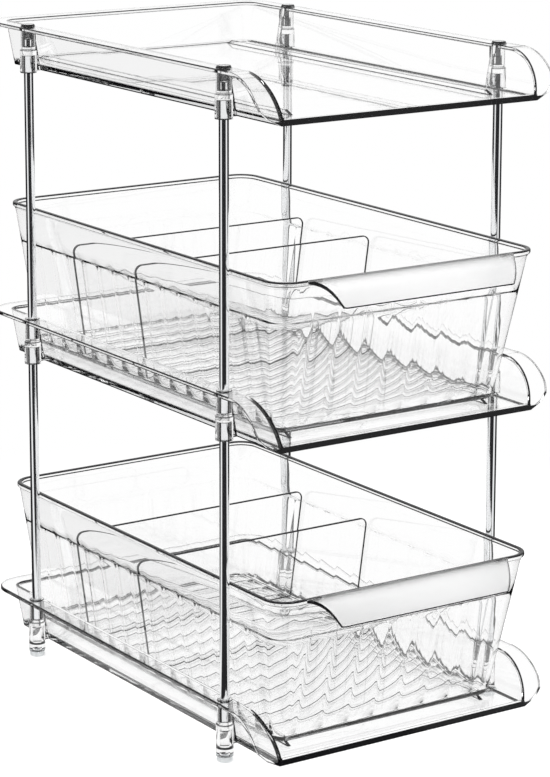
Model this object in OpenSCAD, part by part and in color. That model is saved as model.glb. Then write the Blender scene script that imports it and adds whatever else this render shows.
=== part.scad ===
// Three-tier under sink organizer: clear trays on metal tube poles,
// two pull-out drawers with lift-out dividers, clear feet with soft pads.
// Millimetres. X to the right, Y to the back, Z up.
// The origin is the bottom centre of the whole organizer.

/* [Trays] */
// Width of a tray over its two side rims
tray_w = 214; // [204:1:224]
// Depth of a tray from its front edge to the back of its rim
tray_d = 329.5; // [320:0.5:340]
// Height of a tray from the underside of its floor to the top of its rim
tray_h = 28.6; // [27:0.2:32]
// Thickness of the tray walls
tray_wall = 2; // [1.8:0.1:2.4]
// Thickness of the tray floor
tray_floor = 2.4; // [2:0.1:3]
// Width of the flat rim around the tray
rim_w = 12; // [11:0.5:13]
// Thickness of the flat rim
rim_t = 2.2; // [1.8:0.1:2.6]
// Lean of the tray walls from upright, in degrees
tray_lean = 10; // [8:0.5:12]
// Plan radius of the back corners, at the outside of the rim
tray_corner_r = 20; // [18:0.5:24]
// Length over which the side walls curve down to the front edge
front_run = 32; // [28:1:38]
// Height of the two guide ribs above the tray floor
rib_h = 2.7; // [2:0.1:3.2]
// Distance of each guide rib from the middle of the tray
rib_x = 72.5; // [68:0.5:74]

/* [Stack] */
// Height from one tray to the next
tier_pitch = 191; // [180:1:205]
// Distance of the front poles behind the front edge of the tray
pole_in_front = 48; // [44:1:56]
// Distance of the back poles in front of the back of the rim
pole_in_back = 51.5; // [46:0.5:58]
// Distance of the pole axis inside the outer edge of the rim
pole_in_side = 7; // [6.5:0.1:7.5]
// Outer diameter of a pole
pole_d = 6; // [5.6:0.1:6.2]
// Wall thickness of the pole tube
pole_wall = 0.5; // [0.4:0.1:0.8]
// Clearance between a pole or stem and its bore, all round
bore_gap = 0.05; // [0.05:0.01:0.15]
// Outer diameter of the upper part of a socket
socket_d = 9.3; // [9.2:0.1:10]
// Outer diameter of the lower part of a socket
socket_low_d = 10.7; // [10.2:0.1:11.5]
// Height from the tray underside to the bottom of the upper bore
upper_bore_z = 15.4; // [14:0.1:16.5]
// Height from the tray underside to the top of the lower bore
lower_bore_z = 10.2; // [9.5:0.1:11]
// Height of the foot below the socket, without its pad
foot_h = 5.5; // [4.5:0.5:8]
// Height of the soft pad under a foot
pad_h = 3.5; // [2.5:0.5:4.5]
// Diameter of a soft pad
pad_d = 9.6; // [9:0.1:10]

/* [Drawers] */
// Height of a drawer
drawer_h = 95; // [85:1:110]
// Clearance between the drawer rim and the poles, each side
drawer_side_gap = 1.5; // [1:0.1:2.5]
// Clearance between the drawer floor and the guide ribs
drawer_lift_gap = 0.3; // [0.3:0.1:0.8]
// Clearance between the drawer and the back wall of the tray
drawer_back_gap = 3.6; // [2.8:0.1:6]
// Thickness of the drawer walls and floor
drawer_wall = 2; // [1.8:0.1:2.4]
// Distance of the drawer floor behind the front edge of the tray
drawer_set_back = 19; // [16:0.5:24]
// Reach of the pull lip in front of the tray edge
lip_reach = 20; // [18:0.5:24]
// Length of the pull lip along the drawer rim
lip_len = 152; // [130:1:156]
// Thickness of the pull lip
lip_t = 2.4; // [2:0.1:3]
// Width of one flute
flute_pitch = 19; // [18.8:0.1:19.4]
// Depth of a flute at the front and back, from the ribs to the bottom of its groove
flute_depth = 1; // [0.8:0.1:1.6]
// Thickness of the plastic added behind the grooves of the flutes
flute_base = 0.6; // [0.5:0.1:1]
// Depth of the flutes on the side walls of the drawer
side_flute = 0.6; // [0.5:0.1:1]
// Depth of the flutes across the drawer floor
floor_flute = 0.4; // [0.3:0.1:0.8]
// Plain height above the flutes
plain_h = 25; // [22:1:30]

/* [Dividers] */
// Thickness of a divider
divider_t = 1.8; // [1.6:0.1:2.2]
// Clearance between a divider edge and its groove
divider_gap = 0.4; // [0.3:0.05:0.6]
// Distance from the drawer rim down to the top of a divider
divider_drop = 18; // [15:0.5:20]
// Distance from the tray edge to the front divider
divider_place = 166; // [155:1:175]
// Number of flutes from the front divider to the rear divider
divider_step = 4; // [3:1:5]

/* [Hidden] */
$fn = 64;
e = 0.02;
clear = [0.86, 0.91, 0.94, 0.45];
metal = [0.75, 0.76, 0.78];
soft = [0.82, 0.84, 0.86];

y_front = -(tray_d + lip_reach) / 2 + lip_reach;
y_back = y_front + tray_d;
xc = tray_w / 2 - tray_corner_r;
yc = y_back - tray_corner_r;
lean = tan(tray_lean);
r_top = tray_corner_r - rim_w;
function r_in(z) = r_top - (tray_h - z) * lean;
function r_out(z) = r_in(z) + tray_wall;

tray_z = pad_h + foot_h + 1;
pole_x = tray_w / 2 - pole_in_side;
pole_yf = y_front + pole_in_front;
pole_yb = y_back - pole_in_back;
bore_d = pole_d + 2 * bore_gap;
ring_h = 0.6;
ring_d = 9.2;
head_h = 0.8;

// drawer, measured from the underside of its tray
dz0 = tray_floor + rib_h + drawer_lift_gap;
dw_top = pole_x - pole_d / 2 - drawer_side_gap;
bead = 1;
bead_h = 3;
dw_wall = dw_top - bead;
dw_bot = dw_wall - 13;
dy_f_bot = y_front + drawer_set_back;
dy_f_top = y_front - 1;
dy_b_bot = yc + r_in(tray_floor) - drawer_back_gap;
dy_b_top = dy_b_bot + 11;
slope_x = (dw_wall - dw_bot) / drawer_h;
slope_f = (dy_f_bot - dy_f_top) / drawer_h;
slope_b = (dy_b_top - dy_b_bot) / drawer_h;
flute_h = drawer_h - plain_h;
y_div = y_front + divider_place;
y_div2 = y_div + divider_step * flute_pitch;

// Section of a tray wall: r outwards from the corner centre, z up.
module wall_section() {
  polygon([[0.4, 0], [r_out(0), 0], [r_out(tray_h - rim_t), tray_h - rim_t],
    [tray_corner_r, tray_h - rim_t], [tray_corner_r, tray_h - 0.6], [tray_corner_r - 0.6, tray_h],
    [r_top + 0.4, tray_h], [r_in(tray_h - 0.4), tray_h - 0.4],
    [r_in(tray_floor + 2.6), tray_floor + 2.6], [r_in(tray_floor + 0.9) - 0.6, tray_floor + 0.9],
    [r_in(tray_floor) - 2, tray_floor], [0.4, tray_floor]]);
}

// Side view of the tray: the walls curve down to the front edge.
function arc_pts(a, b, n) =
  [for (i = [0:n]) [y_front + front_run - a * cos(90 * i / n), b * sin(90 * i / n)]];
module side_outline() {
  polygon(concat(arc_pts(front_run, tray_h, 16),
    [[y_front + front_run, tray_h + 2], [y_back + 2, tray_h + 2], [y_back + 2, -2], [y_front, -2]]));
}
module side_band() {
  back_pts = arc_pts(front_run - rim_t, tray_h - rim_t, 16);
  polygon(concat(arc_pts(front_run, tray_h, 16),
    [[y_front + front_run + 1, tray_h], [y_front + front_run + 1, tray_h - rim_t]],
    [for (i = [16:-1:0]) back_pts[i]]));
}
// Front view of the rim where it follows the curve and fades out at the floor.
module rim_front() {
  m = tray_wall / 2;
  polygon([[r_in(0) + m, 0], [r_out(0) + 0.2, 0], [r_out(0) + 3.2, 1.5], [r_out(0) + 9, 4.5],
    [tray_corner_r - 1.4, 9], [tray_corner_r, 15], [tray_corner_r, tray_h + 1],
    [r_in(tray_h + 1) + m, tray_h + 1]]);
}

module right_side() {
  intersection() {
    union() {
      translate([xc, yc, 0]) rotate([90, 0, 0]) linear_extrude(yc - y_front) wall_section();
      intersection() {
        translate([xc, 0, 0]) rotate([90, 0, 90]) linear_extrude(tray_corner_r + 2) side_band();
        translate([xc, y_front + front_run + 2, 0]) rotate([90, 0, 0])
          linear_extrude(front_run + 4) rim_front();
      }
    }
    translate([xc - 2, 0, 0]) rotate([90, 0, 90]) linear_extrude(tray_corner_r + 4) side_outline();
  }
  translate([xc, yc, 0]) rotate_extrude(angle = 90) wall_section();
}

module socket_solid(x, y) {
  translate([x, y, -1]) cylinder(d = socket_low_d, h = 14.5);
  translate([x, y, 10]) cylinder(d = socket_d, h = tray_h - 10);
  translate([x, y, tray_h - 1]) cylinder(d = ring_d, h = 1 + ring_h);
  // gusset between the socket and the leaning wall
  m = xc + tray_wall / 2;
  side = [[m + r_in(0), 0], [pole_x, 0], [pole_x, tray_h - 1], [m + r_in(tray_h - 1), tray_h - 1]];
  translate([0, y + 1.5, 0]) rotate([90, 0, 0]) linear_extrude(3)
    polygon(x > 0 ? side : [for (p = side) [-p[0], p[1]]]);
}
module socket_bores(x, y) {
  translate([x, y, upper_bore_z]) cylinder(d = bore_d, h = tray_h);
  translate([x, y, -2]) cylinder(d = bore_d, h = lower_bore_z + 2);
}

module tray_shape() {
  difference() {
    union() {
      linear_extrude(tray_floor) union() {
        translate([-xc - r_out(0) + 0.6, y_front]) square([2 * (xc + r_out(0) - 0.6), yc - y_front]);
        translate([-xc, y_front]) square([2 * xc, yc - y_front + r_out(0) - 0.6]);
        for (s = [-1, 1]) translate([s * xc, yc]) circle(r = r_out(0) - 0.6);
      }
      right_side();
      mirror([1, 0, 0]) right_side();
      translate([-xc, yc, 0]) rotate([90, 0, 90]) linear_extrude(2 * xc) wall_section();
      // thick front edge
      translate([-xc - r_out(0), y_front, 0]) cube([2 * (xc + r_out(0)), 3, 3.6]);
      for (s = [-1, 1]) translate([s * rib_x - 1, 0, 0]) rotate([90, 0, 90]) linear_extrude(2)
        polygon([[dy_f_bot, tray_floor - 0.5], [dy_f_bot, tray_floor], [dy_f_bot + 6, tray_floor + rib_h],
          [yc - 6, tray_floor + rib_h], [yc, tray_floor], [yc, tray_floor - 0.5]]);
      for (x = [-pole_x, pole_x]) for (y = [pole_yf, pole_yb]) socket_solid(x, y);
    }
    for (x = [-pole_x, pole_x]) for (y = [pole_yf, pole_yb]) socket_bores(x, y);
  }
}
module tray(k) {
  color(clear) translate([0, 0, tray_z + k * tier_pitch]) tray_shape();
}

// Tube pole between the web of one tray and the web of the next.
module pole(x, y, k) {
  z0 = tray_z + k * tier_pitch + upper_bore_z + 0.2;
  z1 = tray_z + (k + 1) * tier_pitch + lower_bore_z - 0.2;
  color(metal) translate([x, y, z0]) difference() {
    cylinder(d = pole_d, h = z1 - z0);
    translate([0, 0, -1]) cylinder(d = pole_d - 2 * pole_wall, h = z1 - z0 + 2);
  }
}

nub_d = 4;
module foot(x, y) {
  color(clear) translate([x, y, pad_h]) difference() {
    union() {
      cylinder(d = socket_low_d, h = foot_h);
      cylinder(d = pole_d, h = foot_h + lower_bore_z + 0.8);
    }
    translate([0, 0, -1]) cylinder(d = nub_d + 2 * bore_gap, h = 1 + 2.2);
  }
}
module foot_pad(x, y) {
  color(soft) translate([x, y, 0]) {
    rotate_extrude() polygon([[0, 0], [pad_d / 2 - 0.5, 0], [pad_d / 2, 0.5], [pad_d / 2, pad_h],
      [nub_d / 2, pad_h], [nub_d / 2, pad_h + 2], [0, pad_h + 2]]);
  }
}
// Closing plug of an open socket on the top tray.
module socket_plug(x, y) {
  color(clear) translate([x, y, tray_z + 2 * tier_pitch + tray_h + ring_h]) rotate_extrude()
    polygon([[0, -9], [pole_d / 2 - 0.5, -9], [pole_d / 2, -8.5], [pole_d / 2, 0], [4.3, 0],
      [4.3, head_h - 0.3], [4, head_h], [0, head_h]]);
}

// Rounded tub between two plan outlines, t inside the outside faces.
module tub(t, z0, z1) {
  function hw(z) = dw_bot + slope_x * z - t;
  function yf(z) = dy_f_bot - slope_f * z + t;
  function yb(z) = dy_b_bot + slope_b * z - t;
  function rr(z) = 9 + 5 * z / drawer_h - t;
  hull() for (z = [z0, z1]) for (s = [-1, 1]) {
    translate([s * (hw(z) - rr(z)), yf(z) + rr(z), z]) cylinder(r = rr(z), h = e);
    translate([s * (hw(z) - rr(z)), yb(z) - rr(z), z]) cylinder(r = rr(z), h = e);
  }
}
// Outline of a row of hollow flutes: u along the row, v out of the wall; grooves at u0 + k * pitch,
// with a sharp rib between two grooves.
module flute_row(u0, n0, n1, deep) {
  r = (flute_pitch * flute_pitch / 4 + deep * deep) / (2 * deep);
  a = asin(flute_pitch / 2 / r);
  v0 = drawer_wall / 2 + flute_base;
  polygon(concat([[u0 + (n0 - 0.5) * flute_pitch, 0]],
    [for (k = [n0:n1]) for (i = [0:7]) [u0 + k * flute_pitch + r * sin(a * (i / 4 - 1)),
      v0 + r - r * cos(a * (i / 4 - 1))]],
    [[u0 + (n1 + 0.5) * flute_pitch, v0 + deep], [u0 + (n1 + 0.5) * flute_pitch, 0]]));
}
module side_flutes() {
  ax = atan(slope_x);
  translate([dw_bot - drawer_wall / 2, 0, 0]) rotate([0, ax, 0]) rotate([0, 0, 90])
    linear_extrude(flute_h / cos(ax)) flute_row(y_div, -8, 8, side_flute);
}
module flutes() {
  af = atan(slope_f);
  ab = atan(slope_b);
  m = drawer_wall / 2;
  side_flutes();
  mirror([1, 0, 0]) side_flutes();
  translate([0, dy_f_bot + m, 0]) rotate([af, 0, 0])
    linear_extrude(flute_h / cos(af)) flute_row(0, -5, 5, flute_depth);
  translate([0, dy_b_bot - m, 0]) rotate([-ab, 0, 0]) mirror([0, 1, 0])
    linear_extrude(flute_h / cos(ab)) flute_row(0, -5, 5, flute_depth);
  translate([-dw_bot, 0, m]) rotate([90, 0, 90])
    linear_extrude(2 * dw_bot) flute_row(y_div, -8, 8, floor_flute);
}
module rim_outline(t) {
  r = 14 + bead - t;
  w = dw_top - t;
  y0 = dy_f_top - bead + t;
  y1 = dy_b_top + bead - t;
  translate([-w, y0 + r]) square([2 * w, y1 - y0 - 2 * r]);
  translate([-w + r, y0]) square([2 * (w - r), y1 - y0]);
  for (s = [-1, 1]) for (y = [y0 + r, y1 - r]) translate([s * (w - r), y]) circle(r = r);
}
// Curved pull lip in front of the rim; its ends sweep in to the tip.
lip_out = (dy_f_top - bead) - (y_front - lip_reach);
lip_drop = 14;
module lip() {
  zr = drawer_h;
  r = (lip_out * lip_out + lip_drop * lip_drop) / (2 * lip_drop);
  w0 = lip_len / 2;
  n = 8;
  ends = [for (i = [0:n]) [w0 - 15 * i / n, dy_f_top - bead - lip_out * (1 - cos(180 * i / n)) / 2]];
  intersection() {
    translate([-w0 - 2, dy_f_top - bead, zr - r]) rotate([90, 0, 90]) linear_extrude(lip_len + 4)
      union() {
        intersection() {
          difference() {
            circle(r = r);
            circle(r = r - lip_t);
          }
          translate([-r - 1, r - lip_drop]) square([r + 1, lip_drop + 1]);
        }
        translate([-e, r - lip_t]) square([bead + 1.5, lip_t]);
      }
    linear_extrude(drawer_h + 10) polygon(concat([[w0, dy_f_top + 1.5]], ends,
      [for (i = [n:-1:0]) [-ends[i][0], ends[i][1]]], [[-w0, dy_f_top + 1.5]]));
  }
}
module drawer(k) {
  color(clear) translate([0, 0, tray_z + k * tier_pitch + dz0]) {
    difference() {
      union() {
        tub(0, 0, drawer_h - e);
        translate([0, 0, drawer_h - bead_h]) linear_extrude(bead_h) rim_outline(0);
      }
      tub(drawer_wall, drawer_wall, drawer_h + 5);
    }
    intersection() {
      tub(drawer_wall / 2, drawer_wall / 2, drawer_h - 5);
      flutes();
    }
    lip();
  }
}

// Flat plate standing in the grooves of the flutes, narrower at the bottom.
module divider(k, y) {
  v = drawer_wall + flute_base + divider_t * 0.02;
  zb = v + divider_gap;
  zt = drawer_h - divider_drop;
  in = v + divider_gap;
  hb = dw_bot + slope_x * zb - in;
  ht = dw_bot + slope_x * zt - in;
  r = 5;
  color(clear) translate([0, y + divider_t / 2, tray_z + k * tier_pitch + dz0]) rotate([90, 0, 0])
    linear_extrude(divider_t) polygon(concat(
      [[-hb + 1, zb], [hb - 1, zb], [hb, zb + 1], [ht - slope_x * r, zt - r]],
      [for (a = [15:15:90]) [ht - slope_x * r - r + r * cos(a), zt - r + r * sin(a)]],
      [for (a = [90:15:165]) [-ht + slope_x * r + r + r * cos(a), zt - r + r * sin(a)]],
      [[-ht + slope_x * r, zt - r], [-hb, zb + 1]]));
}

tray(0);  // bottom_tray
tray(1);  // middle_tray
tray(2);  // top_tray
pole(-pole_x, pole_yf, 0);  // lower_pole_front_left
pole(pole_x, pole_yf, 0);  // lower_pole_front_right
pole(-pole_x, pole_yb, 0);  // lower_pole_back_left
pole(pole_x, pole_yb, 0);  // lower_pole_back_right
pole(-pole_x, pole_yf, 1);  // upper_pole_front_left
pole(pole_x, pole_yf, 1);  // upper_pole_front_right
pole(-pole_x, pole_yb, 1);  // upper_pole_back_left
pole(pole_x, pole_yb, 1);  // upper_pole_back_right
foot(-pole_x, pole_yf);  // foot_front_left
foot(pole_x, pole_yf);  // foot_front_right
foot(-pole_x, pole_yb);  // foot_back_left
foot(pole_x, pole_yb);  // foot_back_right
foot_pad(-pole_x, pole_yf);  // foot_pad_front_left
foot_pad(pole_x, pole_yf);  // foot_pad_front_right
foot_pad(-pole_x, pole_yb);  // foot_pad_back_left
foot_pad(pole_x, pole_yb);  // foot_pad_back_right
socket_plug(-pole_x, pole_yf);  // socket_plug_front_left
socket_plug(pole_x, pole_yf);  // socket_plug_front_right
socket_plug(-pole_x, pole_yb);  // socket_plug_back_left
socket_plug(pole_x, pole_yb);  // socket_plug_back_right
drawer(0);  // lower_drawer
drawer(1);  // upper_drawer
divider(0, y_div);  // lower_front_divider
divider(0, y_div2);  // lower_rear_divider
divider(1, y_div);  // upper_front_divider
divider(1, y_div2);  // upper_rear_divider
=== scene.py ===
import math

import bmesh
import bpy
from mathutils import Matrix, Vector


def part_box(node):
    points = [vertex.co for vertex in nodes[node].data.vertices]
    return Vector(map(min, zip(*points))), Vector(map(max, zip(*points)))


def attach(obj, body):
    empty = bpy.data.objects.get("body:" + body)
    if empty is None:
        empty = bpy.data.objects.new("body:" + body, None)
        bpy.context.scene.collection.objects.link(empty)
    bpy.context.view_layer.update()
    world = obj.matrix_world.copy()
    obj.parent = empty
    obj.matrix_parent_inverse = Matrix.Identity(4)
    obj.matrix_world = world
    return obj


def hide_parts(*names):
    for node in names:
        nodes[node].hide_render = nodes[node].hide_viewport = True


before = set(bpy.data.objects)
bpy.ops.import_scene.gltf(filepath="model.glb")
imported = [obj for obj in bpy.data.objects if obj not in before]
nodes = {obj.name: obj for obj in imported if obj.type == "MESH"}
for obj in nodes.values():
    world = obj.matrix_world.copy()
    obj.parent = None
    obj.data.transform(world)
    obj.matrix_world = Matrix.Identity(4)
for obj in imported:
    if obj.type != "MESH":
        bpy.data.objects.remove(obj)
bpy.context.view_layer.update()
scene = bpy.context.scene

# Camera: front left of the organizer and a little above its top, with the long lens that
# gives the slight narrowing of the poles and trays in the photograph.
azimuth, elevation, roll = math.radians(-33.86), math.radians(11.87), math.radians(0.12)
camera_place = (-1.00448, -1.50804, 0.64961)
picture_width, picture_height, focal_length = 550, 777, 2928.27
film_size = 36
toward = Vector((math.sin(azimuth) * math.cos(elevation), -math.cos(azimuth) * math.cos(elevation),
                 math.sin(elevation)))
level = Vector((0, 0, 1)).cross(toward).normalized()
upright = toward.cross(level)
right = level * math.cos(roll) + upright * math.sin(roll)
up = upright * math.cos(roll) - level * math.sin(roll)
camera_data = bpy.data.cameras.new("camera")
camera_data.sensor_width = film_size
camera_data.lens = focal_length * film_size / picture_height
camera_data.shift_y = -(picture_height / 2 - picture_width / 2) / picture_height
camera_data.clip_end = 20
camera = bpy.data.objects.new("camera", camera_data)
camera.matrix_world = Matrix((
    (right.x, up.x, toward.x, camera_place[0]),
    (right.y, up.y, toward.y, camera_place[1]),
    (right.z, up.z, toward.z, camera_place[2]),
    (0, 0, 0, 1)))
scene.collection.objects.link(camera)
scene.camera = camera

# Trays: one clear styrene moulding used three times, polished and open at the front, with a flat
# rim, a curved front, two guide ribs and four socket columns. Its edges are rounded in the mould;
# the dark look they have, where the light runs off inside the wall, is painted shade. Sizes in metres.
tray_height, column_drop = 0.0286, 0.001
wall_half, wall_lean = 0.095, math.tan(math.radians(10))
curve_depth = 0.032
pole_half, front_pole_y, back_pole_y = 0.1, -0.10675, 0.12325
column_radius, bore_radius, lowest_bore = 0.007, 0.0033, 0.02
tray_rounding, corner_line, curve_line = 0.0006, 0.0008, 0.0012


def clear_plastic(name, ripple_size, ripple, roughness=0.01, edge=0.0, density=3):
    """Polished clear plastic. Along its sharp edges, over the width edge, its colour is painted dark as
    shade.
    """
    material = bpy.data.materials.new(name)
    material.use_nodes = True
    tree = material.node_tree
    shader = tree.nodes["Principled BSDF"]
    shader.inputs["Base Color"].default_value = (1, 1, 1, 1)
    shader.inputs["Transmission Weight"].default_value = 1
    shader.inputs["IOR"].default_value = 1.5
    shader.inputs["Roughness"].default_value = roughness
    place = tree.nodes.new("ShaderNodeTexCoord")
    mould = tree.nodes.new("ShaderNodeTexNoise")
    mould.inputs["Scale"].default_value = ripple_size
    mould.inputs["Detail"].default_value = 2
    waves = tree.nodes.new("ShaderNodeBump")
    waves.inputs["Strength"].default_value = ripple
    waves.inputs["Distance"].default_value = 0.001
    tree.links.new(place.outputs["Object"], mould.inputs["Vector"])
    tree.links.new(mould.outputs["Fac"], waves.inputs["Height"])
    tree.links.new(waves.outputs["Normal"], shader.inputs["Normal"])
    # Painted shade: where the normal rounded by the Bevel node turns away from the surface normal, along
    # edges, the base colour goes near black.
    if edge:
        surface = tree.nodes.new("ShaderNodeNewGeometry")
        round_edge = tree.nodes.new("ShaderNodeBevel")
        round_edge.samples = 6
        round_edge.inputs["Radius"].default_value = edge
        turn = tree.nodes.new("ShaderNodeVectorMath")
        turn.operation = "DOT_PRODUCT"
        dark = tree.nodes.new("ShaderNodeMapRange")
        dark.inputs["From Min"].default_value = 0.996
        dark.inputs["From Max"].default_value = 0.965
        colour = tree.nodes.new("ShaderNodeMix")
        colour.data_type = "RGBA"
        colour.inputs[6].default_value = (1, 1, 1, 1)
        colour.inputs[7].default_value = (0.002, 0.002, 0.0025, 1)
        tree.links.new(surface.outputs["Normal"], turn.inputs[0])
        tree.links.new(round_edge.outputs["Normal"], turn.inputs[1])
        tree.links.new(turn.outputs["Value"], dark.inputs["Value"])
        tree.links.new(dark.outputs["Result"], colour.inputs[0])
        tree.links.new(colour.outputs[2], shader.inputs["Base Color"])
    inside = tree.nodes.new("ShaderNodeVolumeAbsorption")
    inside.inputs["Color"].default_value = (0.5, 0.51, 0.52, 1)
    inside.inputs["Density"].default_value = density
    tree.links.new(inside.outputs["Volume"], tree.nodes["Material Output"].inputs["Volume"])
    return material


def painted_edge_shade(name, ripple_size):
    """Painted shade for the rounded edges of a clear moulding: a near-black plastic, where the real one
    lets hardly any light out.
    """
    material = clear_plastic(name, ripple_size, 0.04, 0.2)
    shader = material.node_tree.nodes["Principled BSDF"]
    shader.inputs["Base Color"].default_value = (0.004, 0.004, 0.005, 1)
    shader.inputs["Transmission Weight"].default_value = 0.2
    shader.inputs["Specular IOR Level"].default_value = 0.1
    return material


def dress(node, material):
    """The plain solid of a node takes the material of the piece that stands in its place."""
    nodes[node].data.materials.clear()
    nodes[node].data.materials.append(material)


def rounded_shell(node, name, width, materials, cuts=()):
    """The shape of a moulded node as one clean mesh, with its edges rounded in the mould.
    The rounded strips take the second material. A cut divides the faces that a plane meets."""
    shape = bmesh.new()
    shape.from_mesh(nodes[node].data)
    bmesh.ops.remove_doubles(shape, verts=shape.verts, dist=2e-6)
    bmesh.ops.dissolve_limit(shape, angle_limit=math.radians(0.5), verts=shape.verts, edges=shape.edges)
    for point, across in cuts:
        bmesh.ops.bisect_plane(shape, geom=shape.verts[:] + shape.edges[:] + shape.faces[:],
                               plane_co=point, plane_no=across)
    mesh = bpy.data.meshes.new(name)
    shape.to_mesh(mesh)
    shape.free()
    for material in materials:
        mesh.materials.append(material)
    for face in mesh.polygons:
        face.material_index = 0
    shell = bpy.data.objects.new(name, mesh)
    scene.collection.objects.link(shell)
    rounding = shell.modifiers.new("rounding", "BEVEL")
    rounding.width = width
    rounding.segments = 3
    rounding.limit_method = "ANGLE"
    rounding.angle_limit = math.radians(25)
    rounding.use_clamp_overlap = True
    # The rounded strips take the second material; for clear plastic that is the near-black painted edge
    # shade.
    rounding.material = 1
    mesh.shade_smooth()
    normals = shell.modifiers.new("normals", "WEIGHTED_NORMAL")
    normals.keep_sharp = True
    shell.visible_shadow = False
    return shell


def paint_shade_on_faces(shell, chosen):
    """Faces of thick edges take the painted shade over their whole width."""
    for face in shell.data.polygons:
        if chosen(face):
            face.material_index = 1


def tray_painted_shade(face, underside, rim, front):
    """True on the faces of a tray that get painted shade as dark lines: the front edge, the corners of the
    rim and of the floor, the curved front of the walls, and painted shade streaks in the bores of the
    sockets."""
    x, y, z = face.center
    tilt = face.normal
    front_edge = tilt.y < -0.99 and y < front + 0.0005
    rim_corner = rim - corner_line < z < rim - 0.00005 and 0.3 < tilt.z < 0.98
    on_curve = y < front + curve_depth and tilt.y < -0.15 and tilt.z > -0.2
    inner_curve = on_curve and abs(x) - wall_half + (rim - z) * wall_lean < curve_line + 0.0001
    across, along = abs(x) - pole_half, min(y - front_pole_y, y - back_pole_y, key=abs)
    from_pole = math.hypot(across, along)
    upright_face = abs(tilt.z) < 0.5
    floor_corner = underside < z < underside + corner_line and upright_face and from_pole > column_radius
    in_bore = from_pole < bore_radius and upright_face and z > lowest_bore
    bore_shade = in_bore and math.cos(3 * math.atan2(along, across)) > 0.2
    return front_edge or rim_corner or inner_curve or floor_corner or bore_shade


tray_plastic = clear_plastic("tray_plastic", 24, 0.04, edge=corner_line, density=2)
tray_edge_shade = painted_edge_shade("tray_edge_shade", 24)
for node in ("bottom_tray", "middle_tray", "top_tray"):
    dress(node, tray_plastic)
    front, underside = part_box(node)[0][1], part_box(node)[0][2] + column_drop
    rim = underside + tray_height
    cuts = [((0, 0, underside + corner_line), (0, 0, 1))]
    cuts += [((side * (wall_half + curve_line), 0, rim), (side, 0, -wall_lean)) for side in (-1, 1)]
    shell = rounded_shell(node, node + "_moulding", tray_rounding, (tray_plastic, tray_edge_shade), cuts)
    # Painted shade: the faces of the dark lines take the near-black edge material.
    paint_shade_on_faces(shell, lambda face: tray_painted_shade(face, underside, rim, front))
    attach(shell, "frame")
    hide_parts(node)

# Poles: thin chromed steel tube, cut to length and pushed into the sockets of two trays. The fine
# drawing marks run along the tube.
pole_metal = bpy.data.materials.new("pole_metal")
pole_metal.use_nodes = True
tree = pole_metal.node_tree
shader = tree.nodes["Principled BSDF"]
shader.inputs["Metallic"].default_value = 1
shader.inputs["Base Color"].default_value = (0.86, 0.87, 0.88, 1)
place = tree.nodes.new("ShaderNodeTexCoord")
stretch = tree.nodes.new("ShaderNodeMapping")
stretch.inputs["Scale"].default_value = (900, 900, 9)
brushing = tree.nodes.new("ShaderNodeTexNoise")
brushing.inputs["Scale"].default_value = 1
sheen = tree.nodes.new("ShaderNodeMapRange")
sheen.inputs["To Min"].default_value = 0.05
sheen.inputs["To Max"].default_value = 0.12
tree.links.new(place.outputs["Object"], stretch.inputs["Vector"])
tree.links.new(stretch.outputs["Vector"], brushing.inputs["Vector"])
tree.links.new(brushing.outputs["Fac"], sheen.inputs["Value"])
tree.links.new(sheen.outputs["Result"], shader.inputs["Roughness"])
corners = ("front_left", "front_right", "back_left", "back_right")
for tier in ("lower", "upper"):
    for corner in corners:
        dress(f"{tier}_pole_{corner}", pole_metal)

# Feet and socket plugs: small clear mouldings, pushed by their stems into the sockets under
# the bottom tray and on top of the top tray.
small_rounding = 0.0004
small_plastic = clear_plastic("small_plastic", 60, 0.03, edge=0.0007)
small_edge_shade = painted_edge_shade("small_edge_shade", 60)
for corner in corners:
    for kind in ("foot", "socket_plug"):
        node = f"{kind}_{corner}"
        dress(node, small_plastic)
        shell = rounded_shell(node, node + "_moulding", small_rounding, (small_plastic, small_edge_shade))
        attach(shell, "frame")
        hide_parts(node)

# Pads: soft translucent discs under the feet, cast in a slightly matt mould, with a nub that is
# pressed into the foot.
pad_rounding = 0.0004
soft_pad = bpy.data.materials.new("soft_pad")
soft_pad.use_nodes = True
tree = soft_pad.node_tree
shader = tree.nodes["Principled BSDF"]
shader.inputs["Base Color"].default_value = (0.72, 0.74, 0.75, 1)
shader.inputs["Roughness"].default_value = 0.45
shader.inputs["Transmission Weight"].default_value = 0.5
place = tree.nodes.new("ShaderNodeTexCoord")
grain = tree.nodes.new("ShaderNodeTexNoise")
grain.inputs["Scale"].default_value = 900
matt = tree.nodes.new("ShaderNodeBump")
matt.inputs["Strength"].default_value = 0.1
matt.inputs["Distance"].default_value = 0.0005
tree.links.new(place.outputs["Object"], grain.inputs["Vector"])
tree.links.new(grain.outputs["Fac"], matt.inputs["Height"])
tree.links.new(matt.outputs["Normal"], shader.inputs["Normal"])
for corner in corners:
    node = f"foot_pad_{corner}"
    dress(node, soft_pad)
    shell = rounded_shell(node, node + "_disc", pad_rounding, (soft_pad, soft_pad))
    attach(shell, "frame")
    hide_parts(node)

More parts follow.
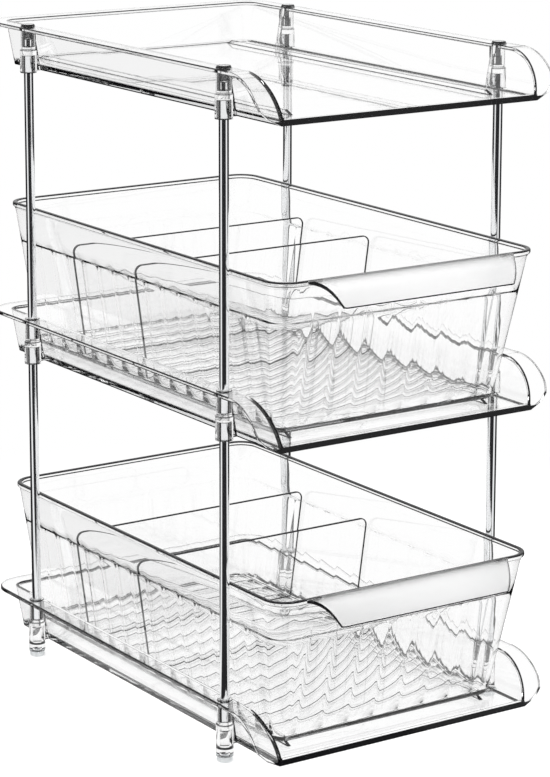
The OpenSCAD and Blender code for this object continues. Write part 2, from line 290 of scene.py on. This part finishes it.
# Drawers: each is one clear moulding, a tub with leaning walls and a curved pull lip. Hollow flutes
# run up the lower walls and across the floor, and a rolled bead stiffens the rim.
# Sizes in millimetres, heights from the underside of the drawer.
drawer_height, drawer_wall = 95, 2
base_half, base_front_y, base_back_y, base_radius = 81.5, -135.75, 154.53, 9
spread_half, spread_front, spread_back, spread_radius = 13, 20, 11, 5
bottom_rounding = 2.2
flute_width, flute_depth, side_flute, floor_flute, flute_base = 19, 1.0, 0.6, 0.4, 0.6
flute_top, flute_end = 70, 1.6
rib_half, rib_softness = 0.7, 0.3
front_divider_y = 11.25
row_front_y, row_back_y, row_side_x = -126.75, 145.0, 72.5
corner_steps, arc_steps = 20, 9
floor_rounding = 1.5
rim_inside, bead_out, bead_down, bead_round = 0.8, 1, 3, 0.9
lip_half, lip_sweep, lip_out, lip_drop, lip_thick = 76, 15, 18, 14, 2.4
lip_radius = (lip_out ** 2 + lip_drop ** 2) / (2 * lip_drop)


def ease(t):
    """0 to 1 with a soft start and a soft end."""
    t = min(max(t, 0), 1)
    return t * t * (3 - 2 * t)


def ease_wave(t):
    """0 to 1 along half a wave."""
    return (1 - math.cos(math.pi * min(max(t, 0), 1))) / 2


def quarter_turn():
    """Angles from 0 to a right angle."""
    return [math.pi / 2 * i / arc_steps for i in range(arc_steps + 1)]


def flute(u):
    """Height of the plastic at u widths from the middle of a groove: 0 there, 1 on the ribs."""
    radius = (flute_width ** 2 / 4 + flute_depth ** 2) / (2 * flute_depth)
    offset = abs(((u + 0.5) % 1 - 0.5) * flute_width)
    crest = flute_width / 2 - rib_half
    if offset > crest:
        offset = min(offset, crest + rib_softness * (offset - crest))
    return (radius - math.sqrt(radius ** 2 - offset ** 2)) / flute_depth


def row_flute(y):
    """The same for the rows that follow the length of the drawer."""
    return flute((y - front_divider_y) / flute_width)


def drawer_plan(height, inset):
    """Half width, front y, back y and corner radius of the outline at a height, inset from outside."""
    rise = height / drawer_height
    return (base_half + spread_half * rise - inset, base_front_y - spread_front * rise + inset,
            base_back_y + spread_back * rise - inset, base_radius + spread_radius * rise - inset)


def drawer_stations():
    """Points round the drawer: side walls, front and back at fixed places, corners by their share
    of the turn. A rib across the length gets two rows, one on each side of its crest."""
    parts = 12
    step = flute_width / parts
    rows = [row_front_y]
    k = math.ceil((row_front_y - front_divider_y) / step + 0.4)
    while front_divider_y + k * step < row_back_y - 0.4 * step:
        row = front_divider_y + k * step
        rows += [row - rib_half, row + rib_half] if k % parts == parts // 2 else [row]
        k += 1
    rows.append(row_back_y)
    columns = [-row_side_x]
    k = math.ceil(-row_side_x / step + 0.4)
    while k * step < row_side_x - 0.4 * step:
        columns.append(k * step)
        k += 1
    columns.append(row_side_x)
    turn = [i / corner_steps for i in range(1, corner_steps)]
    ring = [("right", y) for y in rows] + [("back_right", share) for share in turn]
    ring += [("back", x) for x in reversed(columns)] + [("back_left", share) for share in turn]
    ring += [("left", y) for y in reversed(rows)] + [("front_left", share) for share in turn]
    ring += [("front", x) for x in columns] + [("front_right", share) for share in turn]
    return rows, columns, ring


def corner_point(plan, side, share):
    """Point and outward direction at a share of the turn of a corner, walking anticlockwise."""
    half, front, back, radius = plan
    radius = max(radius, 0.3)
    sx = 1 if side.endswith("right") else -1
    if side.startswith("back"):
        along_side, along_end = back - radius - row_back_y, half - radius - row_side_x
        y_fixed, y_arc, y_end, sy = row_back_y, back - radius, back, 1
    else:
        along_side, along_end = row_front_y - (front + radius), half - radius - row_side_x
        y_fixed, y_arc, y_end, sy = row_front_y, front + radius, front, -1
    arc = radius * math.pi / 2
    walked = from_side(side, share) * (along_side + arc + along_end)
    if walked < along_side:
        return sx * half, y_fixed + sy * walked, sx, 0
    if walked < along_side + arc:
        a = (walked - along_side) / radius
        return (sx * (half - radius + radius * math.cos(a)), y_arc + sy * radius * math.sin(a),
                sx * math.cos(a), sy * math.sin(a))
    return sx * (half - radius - (walked - along_side - arc)), y_end, 0, sy


def from_side(side, share):
    """Share of a corner's turn counted from the side wall."""
    return share if side in ("back_right", "front_left") else 1 - share


def outline_point(station, height, inset):
    """Point of the outline at a station, at a height and inset from the outside."""
    side, place = station
    half, front, back, radius = drawer_plan(height, inset)
    straight = {"right": (half, place), "left": (-half, place),
                "front": (place, front), "back": (place, back)}
    if side in straight:
        return straight[side]
    return corner_point((half, front, back, radius), side, place)[:2]


def outline_direction(station):
    """Direction straight out of the rim at a station."""
    side, place = station
    straight = {"right": (1, 0), "left": (-1, 0), "front": (0, -1), "back": (0, 1)}
    if side in straight:
        return straight[side]
    return corner_point(drawer_plan(drawer_height, 0), side, place)[2:]


def swell(station):
    """How far the plastic swells in at a station, 0 in the middle of a groove. In a corner the
    swell of both its walls dies away over this share of the turn."""
    die_away = 0.3
    side, place = station
    if side in ("left", "right"):
        return side_flute * row_flute(place)
    if side in ("front", "back"):
        return flute_depth * flute(place / flute_width)
    turned = from_side(side, place)
    row = row_back_y if side.startswith("back") else row_front_y
    near_side = side_flute * row_flute(row) * (1 - ease(turned / die_away))
    near_end = flute_depth * flute(row_side_x / flute_width) * (1 - ease((1 - turned) / die_away))
    return near_side + near_end


def floor_height(y):
    """Height of the fluted floor at a place along the drawer."""
    return drawer_wall + flute_base + floor_flute * row_flute(y)


def bead_profile():
    """Plain rim from the inner edge over the top to the wall: (outward, down) pairs."""
    points = [(-rim_inside, 0)]
    points += [(bead_out - bead_round + bead_round * math.sin(a),
                bead_round - bead_round * math.cos(a)) for a in quarter_turn()]
    points += [(bead_out, 1.3), (bead_out, 1.7)]
    points += [(bead_out - bead_round + bead_round * math.cos(a),
                bead_down - bead_round + bead_round * math.sin(a)) for a in quarter_turn()]
    return points + [(0, bead_down + 0.15)]


def lip_profile(reach):
    """The same with a lip that curves out and down by reach, with a rounded tip."""
    angle = math.asin(min(reach / lip_radius, 0.999))
    inner, middle = lip_radius - lip_thick, lip_radius - lip_thick / 2
    turns = [angle * i / arc_steps for i in range(arc_steps + 1)]
    points = [(-rim_inside, 0), (0, 0)]
    points += [(bead_out + lip_radius * math.sin(a), lip_radius - lip_radius * math.cos(a))
               for a in turns[1:]]
    for turn in (0.78, 1.56):
        tip = angle + lip_thick / 2 / lip_radius * math.sin(turn)
        r = middle + lip_thick / 2 * math.cos(turn)
        points.append((bead_out + r * math.sin(tip), lip_radius - r * math.cos(tip)))
    points += [(bead_out + inner * math.sin(a), lip_radius - inner * math.cos(a))
               for a in reversed(turns[1:])]
    return points + [(0.4, lip_thick + 0.1), (0, bead_down + 0.15)]


def rim_profile(reach):
    """Rim at a place where the lip reaches out so far: bead, lip or the blend between them."""
    if reach <= 0:
        return bead_profile()
    blend = ease(reach / 3)
    return [(bead[0] * (1 - blend) + lip[0] * blend, bead[1] * (1 - blend) + lip[1] * blend)
            for bead, lip in zip(bead_profile(), lip_profile(reach))]


def drawer_loops(ring):
    """Loops of points round the drawer, from the inner edge of its floor up the inside, over the
    rim and down the outside to its underside."""
    loops = []

    def level_loop(z, inset, lower=0.0):
        """A loop with the outline of the height z, lying lower by that much."""
        loops.append([(*outline_point(station, z, inset), z - lower) for station in ring])

    for inset, lift in ((floor_rounding, 0), (0.44, 0.44), (0, floor_rounding)):
        points = []
        for station in ring:
            thick = drawer_wall + flute_base + swell(station) + inset
            z = floor_height(outline_point(station, 5 + lift, thick)[1]) + lift
            points.append((*outline_point(station, z, thick), z))
        loops.append(points)
    rises = [(share, 0) for share in (0.15, 0.35, 0.6, 0.8, 0.95)] + [(1, i / 4) for i in range(5)]
    for share, faded in rises:
        points = []
        for station in ring:
            thick = drawer_wall + (flute_base + swell(station)) * (1 - ease(faded))
            low = floor_height(outline_point(station, 5, thick)[1]) + floor_rounding
            z = low + (flute_top - flute_end - low) * share + flute_end * faded
            points.append((*outline_point(station, z, thick), z))
        loops.append(points)
    for z in (76, 84, 91, 93.6, 94.2):
        level_loop(z, drawer_wall)
    level_loop(drawer_height, drawer_wall - 0.23, 0.23)

    rims = []
    rim_front_y = base_front_y - spread_front
    for station in ring:
        x, y = outline_point(station, drawer_height, 0)
        reach = 0
        if station[0].startswith("front") and y < rim_front_y + 0.05 and abs(x) < lip_half:
            reach = lip_out * ease_wave((lip_half - abs(x)) / lip_sweep)
        rims.append(rim_profile(reach))
    for i in range(len(rims[0])):
        points = []
        for station, rim in zip(ring, rims):
            x, y = outline_point(station, drawer_height, 0)
            nx, ny = outline_direction(station)
            outward, down = rim[i]
            points.append((x + nx * outward, y + ny * outward, drawer_height - down))
        loops.append(points)

    for z in (90, 84, 70, 50, 30, 12, 4):
        level_loop(z, 0)
    for angle in (0, 22.5, 45, 67.5, 90):
        a = math.radians(angle)
        level_loop(bottom_rounding - bottom_rounding * math.sin(a),
                   bottom_rounding - bottom_rounding * math.cos(a))
    level_loop(0, 3.4)
    return loops


def drawer_mesh(name):
    """The whole tub as one closed mesh: the walls, the underside and the fluted floor."""
    rows, columns, ring = drawer_stations()
    count = len(ring)
    vertices, loops, faces = [], [], []
    for points in drawer_loops(ring):
        loops.append(range(len(vertices), len(vertices) + count))
        vertices += points
    for lower, upper in zip(loops, loops[1:]):
        for i in range(count):
            j = (i + 1) % count
            faces.append((lower[j], lower[i], upper[i], upper[j]))
    faces.append(tuple(reversed(loops[-1])))

    grid = []
    for y in rows:
        grid.append(range(len(vertices), len(vertices) + len(columns)))
        vertices += [(x, y, floor_height(y)) for x in columns]
    start = {side: next(i for i, station in enumerate(ring) if station[0] == side)
             for side in ("right", "back", "left", "front")}
    edge = loops[0]
    last_row, last_column = len(rows) - 1, len(columns) - 1
    for i in range(last_row):
        for j in range(last_column):
            faces.append((grid[i][j], grid[i][j + 1], grid[i + 1][j + 1], grid[i + 1][j]))
        r = start["right"] + i
        faces.append((grid[i][-1], edge[r], edge[r + 1], grid[i + 1][-1]))
        l = start["left"] + last_row - i
        faces.append((edge[l], grid[i][0], grid[i + 1][0], edge[l - 1]))
    for j in range(last_column):
        f = start["front"] + j
        faces.append((edge[f], edge[f + 1], grid[0][j + 1], grid[0][j]))
        b = start["back"] + last_column - j
        faces.append((grid[-1][j], grid[-1][j + 1], edge[b - 1], edge[b]))
    for corner, first, last in ((grid[0][-1], start["front"] + last_column, start["right"] + count),
                                (grid[-1][-1], start["right"] + last_row, start["back"]),
                                (grid[-1][0], start["back"] + last_column, start["left"]),
                                (grid[0][0], start["left"] + last_row, start["front"])):
        for i in range(first, last):
            faces.append((edge[i % count], edge[(i + 1) % count], corner))
    mesh = bpy.data.meshes.new(name)
    mesh.from_pydata([(x / 1000, y / 1000, z / 1000) for x, y, z in vertices], [], faces)
    mesh.validate()
    mesh.shade_smooth()
    mesh.set_sharp_from_angle(angle=math.radians(24))
    return mesh


def drawer_look(face):
    """Material of a face of the drawer: 0 for clear, 1 for painted edge shade, 2 for the matt grip."""
    x, y, z = (1000 * length for length in face.center)
    level_face = abs(face.normal.z) > 0.9
    from_groove = abs(((y - front_divider_y) / flute_width + 0.5) % 1 - 0.5)
    bead_front_y = base_front_y - spread_front - bead_out
    if y < bead_front_y - 0.45 and z > drawer_height - lip_drop - lip_thick + 0.4:
        lip_end = abs(x) > lip_half - lip_sweep + 0.1 and abs(face.normal.x) > 0.5
        return 1 if lip_end or y < bead_front_y - lip_out + 0.35 else 2
    rim = z > drawer_height - bead_round
    under_bead = -0.1 < z - (drawer_height - bead_down) < 0.4 and face.normal.z < -0.3
    on_floor = z < 5 and abs(x) < row_side_x and level_face and face.normal.z > 0
    floor_rib = on_floor and abs(from_groove - 0.5) < 0.02
    bottom_edge = z < 0.6 and not level_face
    return 1 if rim or under_bead or floor_rib or bottom_edge else 0


drawer_plastic = clear_plastic("drawer_plastic", 30, 0.05)
tub = drawer_mesh("drawer_moulding")
tub.materials.append(drawer_plastic)
tub.materials.append(painted_edge_shade("drawer_edge_shade", 30))
tub.materials.append(clear_plastic("drawer_grip", 30, 0.05, 0.35))
# Painted shade: the rim, the underside of the bead, the floor ribs, the bottom edge and the ends and tip of
# the lip take the near-black edge material.
for face in tub.polygons:
    face.material_index = drawer_look(face)
for body, underside in (("lower_drawer", 0.0154), ("upper_drawer", 0.2064)):
    dress(body, drawer_plastic)
    drawer = bpy.data.objects.new(body + "_moulding", tub)
    drawer.location = (0, 0, underside)
    drawer.visible_shadow = False
    scene.collection.objects.link(drawer)
    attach(drawer, body)
    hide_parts(body)

# Dividers: flat clear plates with rounded edges, cut from sheet and standing in two opposite
# grooves of a drawer. Their edges are painted dark as shade, and the painted shade reaches a little way
# into the plate.
plate_rounding, plate_line = 0.0004, 0.0007
divider_plastic = clear_plastic("divider_plastic", 26, 0.04)
divider_edge_shade = painted_edge_shade("divider_edge_shade", 26)
for node in ("lower_front_divider", "lower_rear_divider", "upper_front_divider", "upper_rear_divider"):
    dress(node, divider_plastic)
    shell = rounded_shell(node, node + "_plate", plate_rounding, (divider_plastic, divider_edge_shade))
    # Painted shade: the edge faces, and a strip inset from them on both sides, take the near-black edge
    # material.
    paint_shade_on_faces(shell, lambda face: abs(face.normal.y) < 0.5)
    plate = bmesh.new()
    plate.from_mesh(shell.data)
    sides = [face for face in plate.faces if abs(face.normal.y) > 0.99]
    for face in bmesh.ops.inset_region(plate, faces=sides, thickness=plate_line)["faces"]:
        face.material_index = 1
    plate.to_mesh(shell.data)
    plate.free()
    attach(shell, node)
    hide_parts(node)

# Floor: white seamless paper with the soft shadow of the organizer close to its feet. Three dark
# screens stand round it, outside the picture; only chrome and gloss show them, as dark stripes.
floor_half = 9
plain_from, plain_to = 0.3, 0.6
screens_from, screens_to = 0.15, 0.2
screen_count, screen_turn = 3, 146.14
screen_black = (0.02, 0.02, 0.022, 1)


def calculate(tree, operation, *values, clamp=False):
    """The result of a maths step on sockets and plain numbers."""
    step = tree.nodes.new("ShaderNodeMath")
    step.operation = operation
    step.use_clamp = clamp
    for place, value in enumerate(values):
        if isinstance(value, bpy.types.NodeSocket):
            tree.links.new(value, step.inputs[place])
        else:
            step.inputs[place].default_value = value
    return step.outputs[0]


def soft_range(tree, value, low, high):
    """0 below low and 1 above high, with a soft change between them."""
    span = tree.nodes.new("ShaderNodeMapRange")
    span.interpolation_type = "SMOOTHSTEP"
    span.inputs["From Min"].default_value = low
    span.inputs["From Max"].default_value = high
    tree.links.new(value, span.inputs["Value"])
    return span.outputs["Result"]


def screen_bearings(tree, x, y):
    """1 on the bearings of the screens, seen from the organizer, and 0 between them."""
    bearing = calculate(tree, "ARCTAN2", x, y)
    three = calculate(tree, "MULTIPLY_ADD", bearing, screen_count, math.radians(screen_count * screen_turn))
    return soft_range(tree, calculate(tree, "COSINE", three), -0.8, -0.5)


def reflected(tree, path):
    """1 for a mirrored ray, 0 for one that has just come through clear plastic."""
    return calculate(tree, "SUBTRACT", path.outputs["Is Glossy Ray"], path.outputs["Is Transmission Ray"],
                     clamp=True)


def white_or_screen(tree, screened):
    """White, or the black of a screen where screened is 1."""
    shade = tree.nodes.new("ShaderNodeMix")
    shade.data_type = "RGBA"
    shade.inputs[6].default_value = (1, 1, 1, 1)
    shade.inputs[7].default_value = screen_black
    tree.links.new(screened, shade.inputs[0])
    return shade.outputs[2]


floor_mesh = bpy.data.meshes.new("floor")
floor_mesh.from_pydata([(-floor_half, -floor_half, 0), (floor_half, -floor_half, 0),
                        (floor_half, floor_half, 0), (-floor_half, floor_half, 0)], [], [(0, 1, 2, 3)])
floor = bpy.data.objects.new("floor", floor_mesh)
scene.collection.objects.link(floor)
paper = bpy.data.materials.new("floor_paper")
paper.use_nodes = True
tree = paper.node_tree
shader = tree.nodes["Principled BSDF"]
shader.inputs["Base Color"].default_value = (0.97, 0.97, 0.97, 1)
shader.inputs["Roughness"].default_value = 1
shader.inputs["Specular IOR Level"].default_value = 0
place = tree.nodes.new("ShaderNodeTexCoord")
reach = tree.nodes.new("ShaderNodeVectorMath")
reach.operation = "LENGTH"
tree.links.new(place.outputs["Object"], reach.inputs[0])
axes = tree.nodes.new("ShaderNodeSeparateXYZ")
tree.links.new(place.outputs["Object"], axes.inputs[0])
outside = tree.nodes.new("ShaderNodeMapRange")
outside.inputs["From Min"].default_value = screens_from
outside.inputs["From Max"].default_value = screens_to
tree.links.new(reach.outputs["Value"], outside.inputs["Value"])
path = tree.nodes.new("ShaderNodeLightPath")
screened = calculate(tree, "MULTIPLY", screen_bearings(tree, axes.outputs["X"], axes.outputs["Y"]),
                     outside.outputs["Result"])
screened = calculate(tree, "MULTIPLY", screened, reflected(tree, path))
beyond = soft_range(tree, reach.outputs["Value"], plain_from, plain_to)
bent = calculate(tree, "MAXIMUM", path.outputs["Is Glossy Ray"], path.outputs["Is Transmission Ray"])
plain = calculate(tree, "MAXIMUM", beyond, bent)
white = tree.nodes.new("ShaderNodeEmission")
tree.links.new(white_or_screen(tree, screened), white.inputs["Color"])
seen = tree.nodes.new("ShaderNodeMixShader")
tree.links.new(plain, seen.inputs[0])
tree.links.new(shader.outputs[0], seen.inputs[1])
tree.links.new(white.outputs[0], seen.inputs[2])
tree.links.new(seen.outputs[0], tree.nodes["Material Output"].inputs["Surface"])
floor_mesh.materials.append(paper)

# Room: plain white. Chrome and the gloss of the plastic also see the screens round the organizer,
# which end a little above the horizon.
screen_top_soft, screen_top = math.radians(5), math.radians(2)
world = bpy.data.worlds.new("studio")
scene.world = world
world.use_nodes = True
tree = world.node_tree
tree.nodes.clear()
place = tree.nodes.new("ShaderNodeTexCoord")
axes = tree.nodes.new("ShaderNodeSeparateXYZ")
tree.links.new(place.outputs["Generated"], axes.inputs[0])
low = soft_range(tree, axes.outputs["Z"], math.sin(screen_top_soft), math.sin(screen_top))
screened = calculate(tree, "MULTIPLY", screen_bearings(tree, axes.outputs["X"], axes.outputs["Y"]), low)
path = tree.nodes.new("ShaderNodeLightPath")
seen = tree.nodes.new("ShaderNodeMix")
seen.data_type = "RGBA"
seen.inputs[6].default_value = (1, 1, 1, 1)
tree.links.new(reflected(tree, path), seen.inputs[0])
tree.links.new(white_or_screen(tree, screened), seen.inputs[7])
light = tree.nodes.new("ShaderNodeBackground")
tree.links.new(seen.outputs[2], light.inputs["Color"])
sky = tree.nodes.new("ShaderNodeOutputWorld")
tree.links.new(light.outputs[0], sky.inputs["Surface"])

# Lamp: one large softbox high above the organizer, which lays the soft shadow on the paper. Clear
# plastic needs many bounces of light to look clear.
top_lamp = bpy.data.lights.new("top_softbox", "AREA")
top_lamp.shape = "RECTANGLE"
top_lamp.size, top_lamp.size_y = 1.5, 1.5
top_lamp.energy = 18
lamp = bpy.data.objects.new("top_softbox", top_lamp)
lamp.location = (0, 0, 2.0)
lamp.rotation_euler = (Vector((0, 0, 0.2)) - lamp.location).to_track_quat("-Z", "Y").to_euler()
scene.collection.objects.link(lamp)

scene.view_settings.view_transform = "Standard"
scene.cycles.max_bounces = 40
scene.cycles.transmission_bounces = 40
scene.cycles.transparent_max_bounces = 40
scene.cycles.glossy_bounces = 12
